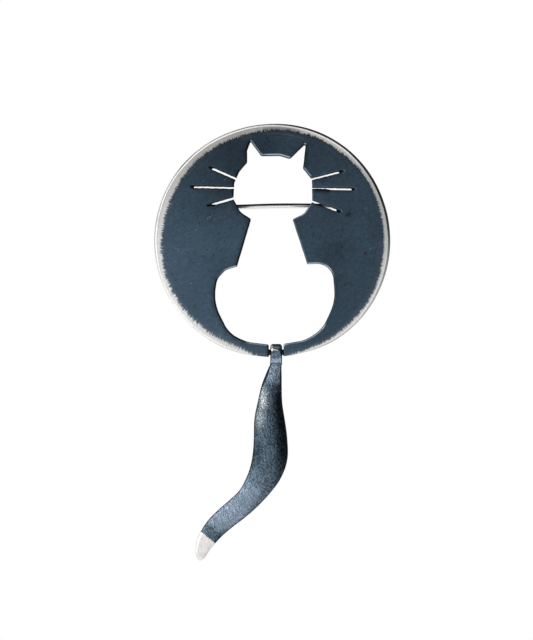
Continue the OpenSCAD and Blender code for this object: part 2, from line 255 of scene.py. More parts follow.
class Nodes:
    """Builds a shader's nodes with little writing."""

    def __init__(self, tree):
        self.tree = tree
        tree.nodes.clear()

    def add(self, kind, *inputs, out=0, **more):
        """A new node. Names with a capital are its inputs, as those by place are; the rest, properties."""
        node = self.tree.nodes.new("ShaderNode" + kind)
        named = {key: more.pop(key) for key in list(more) if key[0].isupper()}
        for key, value in more.items():
            setattr(node, key, value)
        for key, value in [*enumerate(inputs), *named.items()]:
            socket = node.inputs[key]
            if isinstance(value, Out):
                self.tree.links.new(value.socket, socket)
            elif value is not None:
                socket.default_value = (*value, 1)[:4] if socket.type == "RGBA" else value
        return Out(self, node.outputs[out]) if node.outputs else None

    def math(self, kind, *numbers):
        return self.add("Math", *numbers, operation=kind)

    def mix(self, share, a, b, mode="MIX"):
        """A colour between a and b."""
        return self.add("Mix", share, *[None] * 5, a, b, out=2, data_type="RGBA", blend_type=mode)

    def between(self, share, a, b):
        """A number between a and b."""
        return self.add("Mix", share, None, a, b, data_type="FLOAT")

    def shade(self, colour, tone):
        """A colour made lighter or darker by a number."""
        return self.mix(1.0, colour, self.add("CombineColor", tone, tone, tone), "MULTIPLY")

    def over(self, base, layers):
        """A colour with others laid over it, each by its share."""
        for share, colour in layers:
            base = self.mix(share, base, colour)
        return base

    def noise(self, place, scale, detail=3.0, rough=0.55, twist=0.0):
        return self.add("TexNoise", Vector=place, Scale=scale, Detail=detail, Roughness=rough,
                        Distortion=twist)

    def scaled(self, place, factors, offset=(0, 0, 0), turn=(0, 0, 0)):
        return self.add("Mapping", place, offset, turn, factors)

    def spot(self, place, at, radius, soft):
        """1 within a radius of a point, falling to 0 over soft."""
        return self.add("VectorMath", place, at, operation="DISTANCE", out=1).fade(radius, radius + soft)

    def bump(self, height, depth, normal=None):
        return self.add("Bump", Strength=1.0, Distance=depth, Height=height, Normal=normal)

    def attributes(self, names):
        return [self.add("Attribute", attribute_name=name, out=2) for name in names.split()]


def material(name, build):
    mat = bpy.data.materials.new(name)
    mat.use_nodes = True
    n = Nodes(mat.node_tree)
    place = n.add("VectorMath", n.add("TexCoord", out=3), Scale=1 / MM, operation="SCALE")
    n.add("OutputMaterial", n.add("BsdfPrincipled", **build(n, place)))
    return mat


def scratches(n, place, angle, along, fine, seed):
    """Thin straight lines at an angle to the X axis: noise stretched along it."""
    turned = n.scaled(place, (1, 1, 1), (seed, seed * 1.7, 0), (0, radians(angle), 0))
    return n.noise(n.scaled(turned, (along, fine, fine)), 1.0, 2, 0.6)


def drawn_line(n, flat_place, row):
    """1 on a thin arc through three places of the face, fading at its ends."""
    a, b, c = (np.array(row[k:k + 2]) for k in (0, 2, 4))
    sides = np.array([b - a, c - a])
    centre = a + np.linalg.solve(2 * sides, (sides ** 2).sum(1))
    far = n.add("VectorMath", flat_place, (centre[0], 0, centre[1]), operation="DISTANCE", out=1)
    off = abs(far - float(np.linalg.norm(a - centre)))
    half = float(np.linalg.norm(c - a)) / 2
    return off.fade(row[6] * 0.3, row[6]) * n.spot(flat_place, (b[0], 0, b[1]), half * 0.75, half * 0.4)


def rim_noise(n, place, along, across, *kind):
    """Noise measured along the rim and across it, for marks that follow the edge."""
    x, _, z = n.add("SeparateXYZ", place).others()
    z = z - DISC_Z
    turn, radius = n.math("ARCTAN2", x, z), n.math("SQRT", x * x + z * z)
    return n.noise(n.add("CombineXYZ", turn * (23 * along), radius * across), 1.0, *kind)


def cells(n, place, scale, size, chosen, offset=(0, 0, 0)):
    """Small round specks scattered over the surface: one in a share of the cells."""
    far, tint, *_ = n.add("TexVoronoi", Vector=n.scaled(place, (1, 1, 1), offset), Scale=scale).others()
    return far.fade(size * 0.4, size) * n.add("SeparateColor", tint).ramp(chosen, chosen + 0.05)


def plate_look(n, place):
    worn, dark, cut, rub, groove, side = n.attributes("worn dark cut rub groove side")
    up, right, black, line, tinge, depth = n.attributes("up right black line tinge depth")
    front = side.ramp(-0.2, 0.4)
    clouds = n.noise(place, 0.14, 3, 0.5)
    mottle = n.noise(place, 1.3, 4, 0.65, 0.4)
    grain = n.noise(place, 4.5, 2, 0.6)
    brushed = scratches(n, place, 33, 0.9, 4.2, 5)
    # blue-black patina with soft clouds and fine mottling
    tone = (clouds * 0.5 + 0.73) * (mottle * 0.36 + 0.83) * (grain * 0.6 + 0.7) * (brushed * 0.7 + 0.65)
    base = n.mix(mottle.ramp(0.35, 0.7), (0.0585, 0.0975, 0.1405), (0.0655, 0.1075, 0.1515))
    # darker smears on the right of the face, pits and pricks, pale specks and rusty spots
    curl = abs(n.noise(place, 0.42, 4, 0.55, 2.2) - 0.5).fade(0.0, 0.022)
    blot = n.noise(place, 1.9, 4, 0.7, 1.0).ramp(0.42, 0.6)
    pit = cells(n, place, 0.85, 0.17, 0.72)
    flat_place = n.scaled(place, (1, 0, 1))
    broken = n.noise(place, 2.4, 3, 0.7).ramp(0.36, 0.6, 0.15, 1.0)
    # partly painted light and shade in the patina's tone: darker at the upper left, lighter on the right
    base = n.over(n.shade(base, tone * depth), [
        (curl * n.spot(place, (12, -5, -8), 3.5, 4.0) * 0.5, (0.026, 0.040, 0.056)),
        (n.spot(place, (11.8, -5, -10.6), 1.6, 2.2) * blot * 0.5, (0.026, 0.038, 0.052)),
        (n.spot(place, (14.2, -5, -16.4), 0.9, 2.2) * blot * 0.5, (0.026, 0.038, 0.052)),
        (n.spot(place, (15.6, -5, -2.4), 0.2, 0.9) * mottle.ramp(0.35, 0.6) * 0.7, (0.022, 0.032, 0.042)),
        (pit * 0.75, (0.014, 0.020, 0.028)),
        (cells(n, place, 1.9, 0.16, 0.62, (9, 2, 4)) * 0.42, (0.020, 0.030, 0.042)),
        (cells(n, place, 0.33, 0.06, 0.5, (31, 7, 13)) * 0.55, (0.28, 0.31, 0.32)),
        (cells(n, place, 0.5, 0.08, 0.75, (3, 17, 23)) * 0.6, (0.10, 0.065, 0.06)),
        *((n.spot(flat_place, (x, 0, z), r * 0.5, r) * 0.8, MARK_COLOURS[kind]) for x, z, r, kind in MARKS),
        *((drawn_line(n, flat_place, row) * broken * row[7], LINE_COLOURS[row[8]]) for row in LINES)])
    # fine scratches, strongest near the rim, and long streaks that follow it inside its worn band
    cross = scratches(n, place, 33, 0.35, 6, 3).ramp(0.62, 0.72)
    cross2 = scratches(n, place, -20, 0.35, 8, 11).ramp(0.66, 0.74)
    scratch = n.math("MAXIMUM", cross, cross2) * worn.ramp(-1.6, 0.2, 0.25, 0.8)
    streak = rim_noise(n, place, 0.22, 6.0, 3, 0.6).ramp(0.56, 0.66)
    streak = streak * (worn.ramp(-2.0, -0.4) * clouds.ramp(0.42, 0.6))
    # bare silver where the rim rubs, ragged like fur on its inner side
    ragged = rim_noise(n, place, 3.0, 0.8, 4, 0.65, 0.2)
    tufts = rim_noise(n, place, 0.5, 0.5, 2, 0.5)
    hairs = rim_noise(n, place, 4.4, 0.5, 2, 0.6).ramp(0.42, 0.76)
    reach = worn + (ragged - 0.5) * right.ramp(-0.1, 0.45, 1.5, 0.8)
    reach = reach + hairs * right.ramp(-0.3, 0.4, 0.6, 0.26) + (tufts * 0.45 - 0.22)
    smoky = up.ramp(0.955, 0.99) * right.ramp(-0.1, -0.02)
    outer = dark.ramp(-0.08, 0.08) * side.ramp(-0.9, -0.5)
    shaded_edge = outer * black
    bare = (reach - smoky * 0.05).ramp(-0.26, 0.24) * front * (1 - smoky * worn.ramp(0.1, 0.7, 0.45, 0.0))
    bare = bare * (1 - shaded_edge)
    burnt = reach.ramp(-0.6, -0.1) * up.ramp(0.1, 0.9, 0.0, 0.85)
    haze = worn.ramp(-1.3, 0.1) * up.ramp(0.15, -0.5)
    fringe = reach.ramp(-0.3, -0.05) * reach.fade(0.0, 0.5) * up.ramp(0.0, 0.8, 0.12, 1.0)
    silver = n.mix(n.noise(place, 2.6, 3, 0.6).ramp(0.3, 0.75), (0.72, 0.725, 0.715), (0.83, 0.825, 0.815))
    # pinkish fringe inside; painted shade on its upper half and painted highlights at the top and on the
    # right
    silver = n.over(silver, [
        (fringe * 0.5, (0.55, 0.48, 0.45)), (up.ramp(0.05, 0.5, 0.0, 0.65), (0.53, 0.53, 0.515)),
        (up.ramp(0.7, 0.95, 0.0, 0.75), (0.81, 0.84, 0.82)),
        (right.ramp(0.6, 0.9, 0.0, 0.6), (0.92, 0.96, 0.96))])
    # its tone round the rim from the table, partly painted light and shade, with hairlines and two fine
    # concentric lines on it, one scored and one burnished and painted bright as a highlight
    hair = rim_noise(n, place, 3.5, 0.9, 2, 0.6).ramp(0.58, 0.70)
    scored = abs(dark + 0.37).fade(0.02, 0.08) * (right.fade(-0.35, 0.1) * up.ramp(-0.2, 0.2))
    burnish_and_highlight = dark.ramp(-0.34, -0.25) * line
    silver = n.over(n.shade(silver, tinge), [
        (hair * 0.25, (0.38, 0.37, 0.37)), (scored * 0.6, (0.36, 0.35, 0.34)),
        (burnish_and_highlight, (1.0, 0.99, 0.98))])
    # painted shade: outside them the rounded edge is painted black where it turns from the light. The
    # filed corner of each cut carries a painted highlight where it faces the light, partly rubbed metal,
    # and the rest of each cut's wall is painted darker as shade. Black oxide stays in the sunk starts of
    # the whisker cuts; painted shade lies on walls that face away from the light, and the metal along the
    # lower edge of each whisker is black
    corner = cut.ramp(0.02, 0.08) * cut.fade(0.16, 0.30) * front * (rub * 0.95)
    base = n.over(base, [
        (scratch * 0.4, (0.19, 0.23, 0.26)), (streak * 0.4, (0.22, 0.26, 0.28)),
        (burnt * front, (0.022, 0.022, 0.024)), (haze * 0.4, (0.17, 0.21, 0.245)),
        (fringe * front * 0.4, (0.16, 0.115, 0.095)), (outer, (0.010, 0.010, 0.010)),
        (corner, (0.52, 0.61, 0.72)), (cut.fade(0.0, 0.04) * (1 - rub) * 0.8, (0.012, 0.018, 0.026)),
        (groove, (0.004, 0.006, 0.008))])
    rough = n.between(bare, mottle * 0.2 + 0.34, n.between(burnish_and_highlight, ragged * 0.2 + 0.24, 0.12))
    metal = n.between(bare, 0.92, n.between(burnish_and_highlight, 0.6, 0.1))
    relief = n.bump(grain + brushed, 0.00001)
    relief = n.bump(scratch - pit * 2.0, 0.00001, relief)
    return {"Base Color": n.mix(bare, base, silver), "Metallic": n.between(shaded_edge, metal, 0.0),
            "Roughness": n.between(shaded_edge, rough, 0.9), "Normal": n.bump(hair * bare, 0.000008, relief)}


def tail_look(n, place):
    tip, rub, pale, edge, rolled, glint = n.attributes("tip rub pale edge rolled glint")
    grain = n.noise(n.scaled(place, (1.2, 1, 0.75)), 2.6, 2, 0.6, 0.5)
    fine = n.noise(place, 4.6, 2, 0.7)
    clouds = n.noise(place, 0.45, 3, 0.5)
    # a leaden patina, made paler at the neck and towards the tip, partly as paler patina and partly as
    # painted light, and darker on the blade's right side as painted shade
    reach = pale + (n.noise(place, 1.6, 4, 0.7) * 1.3 - 0.65)
    base = n.mix(reach.ramp(-0.75, 0.1), (0.030, 0.045, 0.060), (0.110, 0.163, 0.214))
    base = n.over(base, [(reach.ramp(0.25, 0.8), (0.305, 0.398, 0.512)),
                         (reach.ramp(1.15, 1.6), (0.49, 0.61, 0.76))])
    grainy = n.math("MAXIMUM", (grain - 0.5) * pale.ramp(0.0, 1.0, 3.6, 1.2) + 0.98, 0.5)
    base = n.shade(base, grainy * (clouds * 0.6 + 0.7) * (fine * 0.9 + 0.52))
    # painted highlights: bright grains on the swell of the blade, partly rubbed metal, and glints on the
    # knuckle; rust at the neck; the side walls and the knuckle's top painted dark as shade
    speck = n.noise(n.scaled(place, (1.2, 1.2, 1.3)), 3.4, 3, 0.75)
    flecks = (n.noise(place, 4.5, 3, 0.7) * 2.2 + (glint - 1.1)).ramp(0.25, 0.75)
    flat_place = n.scaled(place, (1, 0, 1))
    base = n.over(base, [
        (speck.ramp(0.54, 0.66, 0.0, 0.5) * reach.ramp(-0.4, 0.2), (0.50, 0.62, 0.73)),
        (rub * 0.35, (0.42, 0.50, 0.55)), (speck.ramp(0.47, 0.57) * rub, (0.88, 0.93, 0.95)),
        (flecks * glint.ramp(0.1, 0.3, 0.0, 0.9), (0.96, 0.98, 0.98)),
        *((n.spot(flat_place, (x, 0, z), r * 0.4, r) * 0.5, (0.26, 0.12, 0.10)) for x, z, r in RUST),
        (edge, (0.022, 0.030, 0.040))])
    # the tip's bare silver, greyed along its edges as painted shade
    bare = (tip + (n.noise(place, 2.2, 4, 0.65) * 0.9 - 0.45)).ramp(-0.06, 0.08)
    slanting = n.scaled(place, (1.4, 1, 0.5), (0, 0, 0), (0, radians(30), 0))
    silver = n.mix(n.noise(slanting, 1.2, 3, 0.6).ramp(0.42, 0.7), (0.93, 0.90, 0.89), (0.84, 0.79, 0.78))
    silver = n.mix(edge * 0.5, silver, (0.5, 0.5, 0.5))
    dull = (1 - bare) * (rolled * -0.75 + 1.0)
    relief = n.bump(fine * dull, 0.00006, n.bump(grain * dull, 0.00016))
    shiny = n.math("MAXIMUM", bare, flecks * glint.ramp(0.1, 0.3))
    return {"Base Color": n.mix(bare, base, silver), "Metallic": n.between(shiny, 0.95, 0.55),
            "Roughness": n.between(bare, grain * 0.2 + 0.21, 0.4), "Normal": relief}


def fittings_look(n, place):
    mottle = n.noise(place, 2.5, 4, 0.6)
    worn = n.noise(place, 1.1, 4, 0.7, 0.5).ramp(0.52, 0.66)
    edge = n.add("NewGeometry", out=7).ramp(0.5, 0.56)
    # painted shade: the fittings are darkened round the hinge, where the wire lies in the slot's shadow
    shade_at_hinge = n.spot(place, tuple(HINGE), 3.5, 1.5)
    base = n.mix(mottle, (0.02, 0.028, 0.036), (0.045, 0.062, 0.08))
    base = n.mix(shade_at_hinge * 0.6, base, (0.010, 0.012, 0.014))
    lit = n.math("MAXIMUM", edge, worn * 0.3) * 0.75 * (shade_at_hinge * -0.9 + 1.0)
    return {"Base Color": n.mix(lit, base, (0.55, 0.55, 0.55)), "Metallic": 0.85,
            "Roughness": mottle * 0.25 + 0.3, "Normal": n.bump(n.noise(place, 6.0, 4, 0.7), 0.00003)}


def steel_look(n, place):
    drawn = n.noise(n.scaled(place, (0.25, 9, 9)), 1.0, 3, 0.6)
    spots = n.noise(place, 2.2, 3, 0.6)
    # painted shade: its upper side is darkened, as where the plate in front shades it
    upper = n.attributes("upper")[0] + (spots * 0.3 - 0.15)
    colour = n.over(n.mix(drawn, (0.90, 0.865, 0.855), (0.99, 0.965, 0.955)), [
        (spots.ramp(0.62, 0.75, 0.0, 0.4), (0.3, 0.28, 0.28)),
        (upper.ramp(-0.15, 0.35, 0.0, 0.94), (0.03, 0.035, 0.042))])
    return {"Base Color": colour, "Metallic": 1.0, "Roughness": spots * 0.16 + 0.12,
            "Normal": n.bump(drawn, 0.000006)}


PLATE = material("oxidised_plate", plate_look)
TAIL_METAL = material("forged_tail", tail_look)
FITTING = material("oxidised_fittings", fittings_look)
STEEL = material("drawn_steel", steel_look)


# The pierced plate, drawn flat as (x, height above the disc's middle) and then laid on the dome
def rounded(rows, steps=10):
    """The outline of the cat with its corners rounded, as in the part's source."""
    points = [np.array(r[:2], float) for r in rows]
    out = []
    for i, row in enumerate(rows):
        b = points[i]
        to_a, to_c = unit(points[i - 1] - b), unit(points[(i + 1) % len(rows)] - b)
        half = acos(float(to_a @ to_c)) / 2
        middle = b + unit(to_a + to_c) * row[2] / sin(half)
        start = b + to_a * row[2] / tan(half) - middle
        turn = copysign(1, to_a[0] * to_c[1] - to_a[1] * to_c[0]) * (2 * half - pi)
        for k in range(steps + 1):
            c, s = cos(turn * k / steps), sin(turn * k / steps)
            out.append(middle + np.array([start[0] * c - start[1] * s, start[0] * s + start[1] * c]))
    return np.array(out)


def whisker_outline(row, steps=10):
    x, z, angle, length, width, slope = row
    r, a = width / 2 - INSET / 2, radians(angle)
    local = [(length + r, -r), (length + r, r)]
    local += [(slope + r - r * sin(pi * k / steps), r * cos(pi * k / steps))
              for k in range(steps + 1)]
    c, s = cos(a), sin(a)
    return np.array([(x + p * c - q * s, z + p * s + q * c) for p, q in local])


def dense(loop, step):
    """The same closed outline with no side longer than step."""
    out = []
    for a, b in zip(loop, np.roll(loop, -1, axis=0)):
        n = max(1, int(ceil(np.linalg.norm(b - a) / step)))
        out += [a + (b - a) * k / n for k in range(n)]
    out = np.array(out)
    return out[np.linalg.norm(out - np.roll(out, 1, axis=0), axis=1) > 1e-4]


def outward_of(loop):
    """The direction out of a closed outline at each of its points."""
    ahead, behind = np.roll(loop, -1, axis=0) - loop, loop - np.roll(loop, 1, axis=0)
    area = np.sum(loop[:, 0] * np.roll(loop[:, 1], -1) - np.roll(loop[:, 0], -1) * loop[:, 1])
    along = unit(unit(ahead) + unit(behind))
    return np.stack([along[:, 1], -along[:, 0]], 1) * copysign(1, area)


def sawn(loop, amount, fine):
    """An outline with the small waves that a hand-held saw leaves."""
    waves = np.array([ripple(x * fine, 3.0, z * fine) for x, z in loop])
    return loop + outward_of(loop) * (waves * amount)[:, None]


def softened_corner(cat, x_edge, side, r=0.42):
    """What is filed off the metal's corner where the slot meets the cat's lower edge."""
    low = cat[(cat[:, 1] < -19) & (np.abs(cat[:, 0] - x_edge) < 3)]
    low = low[np.argsort(low[:, 0])]
    top = float(np.interp(x_edge + side * r, low[:, 0], low[:, 1]))
    turn = np.radians(np.linspace(90, 90 + side * 90, 9))
    bend = np.stack([x_edge + side * r + r * np.cos(turn), top - r + r * np.sin(turn)], 1)
    return np.array([(x_edge - side * 0.3, top + 0.5), (x_edge + side * r, top + 0.5), *bend,
                     (x_edge - side * 0.3, top - r)])


def inside(loop, p):
    hit = np.zeros(len(p), bool)
    for (x0, z0), (x1, z1) in zip(loop, np.roll(loop, -1, axis=0)):
        if z1 != z0:
            crosses = (z0 > p[:, 1]) != (z1 > p[:, 1])
            hit ^= crosses & (p[:, 0] < (x1 - x0) * (p[:, 1] - z0) / (z1 - z0) + x0)
    return hit


def nearest(loops, p):
    """Distance from each point to the outlines, and the way there."""
    best = np.full(len(p), 1e9)
    way = np.zeros((len(p), 2))
    for loop in loops:
        for a, b in zip(loop, np.roll(loop, -1, axis=0)):
            d = b - a
            v = a + np.clip(((p - a) @ d) / (d @ d), 0, 1)[:, None] * d - p
            far = np.hypot(v[:, 0], v[:, 1])
            closer = far < best
            best[closer], way[closer] = far[closer], v[closer]
    return best, way


def aimed(v):
    """Flat ways made 1 long, those of no length left as they are."""
    return v / np.maximum(np.hypot(*v.T), 1e-9)[:, None]


def upright(v):
    """Flat ways as ways in space, with no depth."""
    return np.insert(v, 1, 0, axis=1)


def dome(x, z):
    """The middle of the plate's thickness in the row frame, and the dome's outward direction there."""
    back = np.sqrt(DOME_R ** 2 - x ** 2 - z ** 2)
    point = np.stack([x, RIM_Y + DOME_BACK - back, z + DISC_Z], -1)
    return point, np.stack([x, -back, z], -1) / DOME_R


def cut_outlines():
    """The cat, the whiskers, and all that is cut out of the plate: these, the slot and its filed corners."""
    left, right = HINGE.x - SLOT_W / 2, HINGE.x + SLOT_W / 2
    slot = np.array([(left, -26.0), (right, -26.0), (right, -20.4), (left, -20.4)])
    cat = dense(rounded(CAT) * LEAN, 0.3)
    cat = sawn(cat - outward_of(cat) * INSET, 0.03, 0.9)
    whiskers = [sawn(dense(whisker_outline(w) * LEAN, 0.25), 0.07, 1.6) for w in WHISKERS]
    x, z = whiskers[SLIVER].T
    z += 0.24 * (1 - smooth(10.6, 12.0, x)) * (z < WHISKERS[SLIVER][1] * LEAN)
    corners = [softened_corner(cat, left, -1), softened_corner(cat, right, 1)]
    return cat, whiskers, [cat, dense(slot, 0.3), *corners, *whiskers]


def build_plate():
    cat, whiskers, loops = cut_outlines()
    points, edges = [], []

    def chain(loop, kept=slice(None)):
        """Takes the kept points of a closed outline, and the sides between them."""
        index = {i: len(points) + k for k, i in enumerate(np.arange(len(loop))[kept])}
        points.extend(map(tuple, loop[kept]))
        after = {i: (i + 1) % len(loop) for i in index}
        edges.extend((index[i], index[after[i]]) for i in index if after[i] in index)

    def cut_away(p):
        return np.any([inside(loop, p) for loop in loops], axis=0)

    def clear(p, room, reach):
        """Which points are further than room from every cut and nearer to the middle than reach."""
        return (nearest(loops, p)[0] > room) & ~cut_away(p) & (np.hypot(*p.T) < reach)

    turn = np.arange(RIM_POINTS) * 2 * pi / RIM_POINTS
    for a in (0, 20, 40, 58, 74, 90):       # degrees round the edge, from the face out
        r = EDGE_R + HALF_T * sin(radians(a))
        chain(np.stack([r * np.sin(turn), r * np.cos(turn)], 1))
    for loop in loops:
        chain(loop)
    for loop in loops:
        out = outward_of(loop)
        for a in (22, 45, 68, 90):
            step = SOFT_EDGE * (1 - cos(radians(a)))
            moved = loop + out * step
            chain(moved, clear(moved, step * 0.97, DISC_R - 0.02))
    # the sunk start of each whisker's saw cut
    sinks = []
    turn = np.arange(18) * 2 * pi / 18
    for x, z, angle, _, _, slope in WHISKERS:
        way = np.array([cos(radians(angle)), sin(radians(angle))])
        across = np.array([-way[1], way[0]])
        centre, stretch = np.array([x, z]) * LEAN + way * (slope / 2 - 0.1), 1.25 + 1.3 * slope
        sinks.append((centre, way, across, stretch))
        for r in (0.1, 0.2, 0.3, 0.4, 0.5):
            ring = centre + r * (stretch * np.cos(turn)[:, None] * way + np.sin(turn)[:, None] * across)
            points.extend(map(tuple, ring[clear(ring, 0.03, DISC_R)]))
    grid = np.arange(-24, 24.1, GRID)
    gx, gz = np.meshgrid(grid, grid)
    gx = gx + GRID / 2 * (np.arange(len(grid)) % 2)[:, None]
    field = np.stack([gx.ravel(), gz.ravel()], 1)
    points.extend(map(tuple, field[clear(field, 0.5, EDGE_R - 0.35)]))
    verts, _, faces, *_ = delaunay_2d_cdt([Vector(p) for p in points], edges, [], 0, 1e-5)
    flat = np.array([tuple(v) for v in verts])
    tris = np.array([f for f in faces if len(f) == 3])
    centre = flat[tris].mean(1)
    tris = tris[~(cut_away(centre) | (np.hypot(*centre.T) > DISC_R * cos(pi / RIM_POINTS)))]
    a, b, c = (flat[tris[:, k]] for k in range(3))
    cross = (b[:, 0] - a[:, 0]) * (c[:, 1] - a[:, 1]) - (b[:, 1] - a[:, 1]) * (c[:, 0] - a[:, 0])
    tris[cross < 0] = tris[cross < 0][:, ::-1]
    used, tris = np.unique(tris[np.abs(cross) > 1e-9], return_inverse=True)
    tris, flat = tris.reshape(-1, 3), flat[used]
    count = len(flat)

    # border edges, each with the face on its left, seen from the front with x to the right
    sides = np.concatenate([tris[:, [0, 1]], tris[:, [1, 2]], tris[:, [2, 0]]])
    known = {(int(u), int(v)) for u, v in sides}
    border = [(u, v) for u, v in known if (v, u) not in known]
    rho = np.hypot(*flat.T)
    far, way = nearest(loops, flat)
    outward = np.zeros_like(flat)
    for u, v in border:
        d = unit(flat[v] - flat[u])
        outward[[u, v]] += (d[1], -d[0])
    on_border = np.hypot(*outward.T) > 1e-9
    on_cut = on_border & (far < 1e-3)
    far[on_cut] = 0
    # half the thickness and the slope q there, which the nearer of the filed cut and the round rim sets
    q_cut = np.clip((SOFT_EDGE - far) / SOFT_EDGE, 0, 1)
    h_cut = HALF_T - SOFT_EDGE + SOFT_EDGE * np.sqrt(1 - q_cut ** 2)
    q_rim = np.clip((rho - EDGE_R) / HALF_T, 0, 1)
    h_rim = HALF_T * np.sqrt(np.clip(1 - q_rim ** 2, 0, 1))
    rim_first = h_rim < h_cut
    half = np.where(rim_first, h_rim, h_cut)
    q = np.where(rim_first, q_rim, q_cut)[:, None]
    radial = aimed(flat)
    middle, up = dome(*flat.T)
    tangent = upright(np.where(rim_first[:, None], radial, aimed(np.where(on_cut[:, None], outward, way))))
    tangent -= up * np.sum(tangent * up, 1)[:, None]
    tangent /= np.maximum(np.linalg.norm(tangent, axis=1), 1e-9)[:, None]
    rise = np.sqrt(1 - q ** 2)
    # the front dips at the start of each saw cut
    sink, dip = np.zeros(count), np.zeros((count, 2))
    for centre, way, across, stretch in sinks:
        v = centre - flat
        deep = 1 - smooth(0.08, 0.46, np.hypot(v @ way / stretch, v @ across))
        stronger = deep > sink
        sink[stronger] = deep[stronger]
        dip[stronger] = (aimed(v) * (0.9 * 4 * deep * (1 - deep))[:, None])[stronger]

    # painted highlights: corners of the cat that face down, and a few others, are made bright where they
    # catch the light, partly as rubbed metal
    x, z = flat.T
    far_cat, way_cat = nearest([cat], flat)
    way_x, way_z = aimed(np.where(on_cut[:, None], outward, way_cat)).T
    patchy = np.array([0.5 + 0.9 * ripple(px * 0.5, 2.0, pz * 0.5) for px, pz in flat])
    haunch = 0.3 * smooth(5.0, 6.0, -z)
    rub = smooth(0.15, 0.75, -way_z) * np.clip(patchy + 0.45, 0.3, 1)
    rub *= 1 - smooth(0.1 + haunch, 0.6 + haunch, way_x)
    neck = bell(x, 6.6, 2.9) * bell(z, 5.0, 2.2) * smooth(0.1, 0.6, way_z)
    lower = smooth(0.75, 0.95, way_z) * smooth(18.5, 20.0, -z) * np.clip(patchy + 0.2, 0, 0.8)
    right_edge = smooth(0.45, 0.65, way_z) * smooth(15.5, 17.5, -z) * smooth(0, 2, x)
    right_edge *= np.clip(patchy + 0.4, 0.5, 1)
    rub = np.maximum.reduce([rub, neck, lower, right_edge]) * (1 - smooth(0.4, 0.6, far_cat))
    rub *= 1 - 0.45 * smooth(17.2, 17.8, z) * (x < 0)
    # black: the sunk starts of the whisker cuts hold oxide, and the metal along each whisker's lower edge is
    # black; painted shade lies on cut walls that face right, more faintly on those facing left, on the
    # right ear's wall and on the slot's left wall
    far_whisker, way_whisker = nearest(whiskers, flat)
    facing_up = np.where(on_cut, outward[:, 1], way_whisker[:, 1] / np.maximum(far_whisker, 1e-9))
    tongue = 0.22 * (1 - smooth(10.8, 12.0, x)) * (np.abs(z - WHISKERS[SLIVER][1]) < 0.9) * (x > 0)
    black_below_whiskers = (1 - smooth(0.2 + tongue, 0.32 + tongue, far_whisker)) * smooth(0.1, 0.5, facing_up)
    wall = smooth(0.15, 0.5, way_x) * (1 - 0.7 * smooth(0.3, 0.6, -way_z))
    ear = smooth(13.8, 15.0, z) * smooth(0, 1, x) * smooth(0.7, 0.95, -way_x)
    shaded_walls = np.maximum.reduce([wall, ear, 0.35 * smooth(0.6, 0.9, -way_x) * (1 - rub)])
    slot_wall = (1 - smooth(0.2, 0.38, np.abs(x - HINGE.x + SLOT_W / 2))) * smooth(21.0, 21.6, -z)
    groove = np.maximum.reduce([black_below_whiskers, smooth(0.25, 0.75, sink), 0.85 * slot_wall,
                                0.88 * shaded_walls * (1 - smooth(0.2, 0.36, far_cat))])
    rub *= 1 - (far_whisker < 0.3)

    # front and back points, of which those on the rim are one
    at_rim = on_border & (rho > DISC_R - 1e-3)
    back_of = np.arange(count) + np.where(at_rim, 0, count)
    co = np.concatenate([middle + up * (half - SUNK * sink)[:, None], middle - up * half[:, None]])
    normals = np.concatenate([unit(up * rise + tangent * q + upright(dip)), unit(-up * rise + tangent * q)])
    faces = [*tris, *back_of[tris][:, ::-1]]
    faces += [tuple(dict.fromkeys((v, u, back_of[u], back_of[v]))) for u, v in border
              if not (at_rim[u] and at_rim[v])]
    table = np.array(BAND).T
    columns = (np.interp(np.degrees(np.arctan2(x, z)), table[0], column) for column in table[1:])
    silver, dark, black, line, tinge, depth, stray = columns
    co += np.tile(upright(radial * (stray * smooth(20.5, 23.2, rho))[:, None]), (2, 1))
    # painted shade and light in the patina's tone, growing towards the rim
    depth = 1 + (depth - 1) * np.where(depth < 1, smooth(3, 15, rho), smooth(12, 22, rho))
    data = {"worn": rho - silver, "dark": rho - dark, "black": black, "line": line, "tinge": tinge,
            "rub": rub, "up": radial[:, 1], "right": radial[:, 0]}
    data = {key: (values, values) for key, values in data.items()}
    data.update(depth=(depth, np.ones(count)), cut=(far + 9 * smooth(0.45, 0.8, groove), far),
                groove=(groove, np.zeros(count)), side=(np.where(at_rim, 0, 1), -np.ones(count)))
    keep = np.concatenate([np.ones(count, bool), ~at_rim])
    new = np.cumsum(keep) - 1
    faces = [tuple(int(new[i]) for i in f) for f in faces]
    return (co[keep], faces), normals[keep], {key: np.concatenate(pair)[keep] for key, pair in data.items()}


skin, normals, data = build_plate()
make("plate", skin, "brooch", "disc", PLATE, normals, data)


# Turned, bent and soldered fittings
def turns(count):
    return [2 * pi * k / count for k in range(count)]


def lathe(profile, place, around=32):
    """Points (distance along, radius) turned about the X axis and put in place; no radius closes an end."""
    verts, faces, rings = [], [], []
    for x, r in profile:
        ring = [place(x, r * cos(a), r * sin(a)) for a in turns(around if r else 1)]
        rings.append(range(len(verts), len(verts) + len(ring)))
        verts += ring
    for a, b in zip(rings, rings[1:]):
        for k in range(around):
            quad = (a[k % len(a)], a[(k + 1) % len(a)], b[(k + 1) % len(b)], b[k % len(b)])
            faces.append(tuple(dict.fromkeys(quad)))
    return verts, faces


def tube(rings, closed=False):
    """A skin over rings of as many points each; it is closed on itself, or by a face over each end."""
    n, m = len(rings[0]), len(rings)
    faces = [(i * n + k, i * n + (k + 1) % n, (i + 1) % m * n + (k + 1) % n, (i + 1) % m * n + k)
             for i in range(m if closed else m - 1) for k in range(n)]
    if not closed:
        faces += [tuple(range(n))[::-1], tuple(range((m - 1) * n, m * n))]
    return [p for ring in rings for p in ring], faces


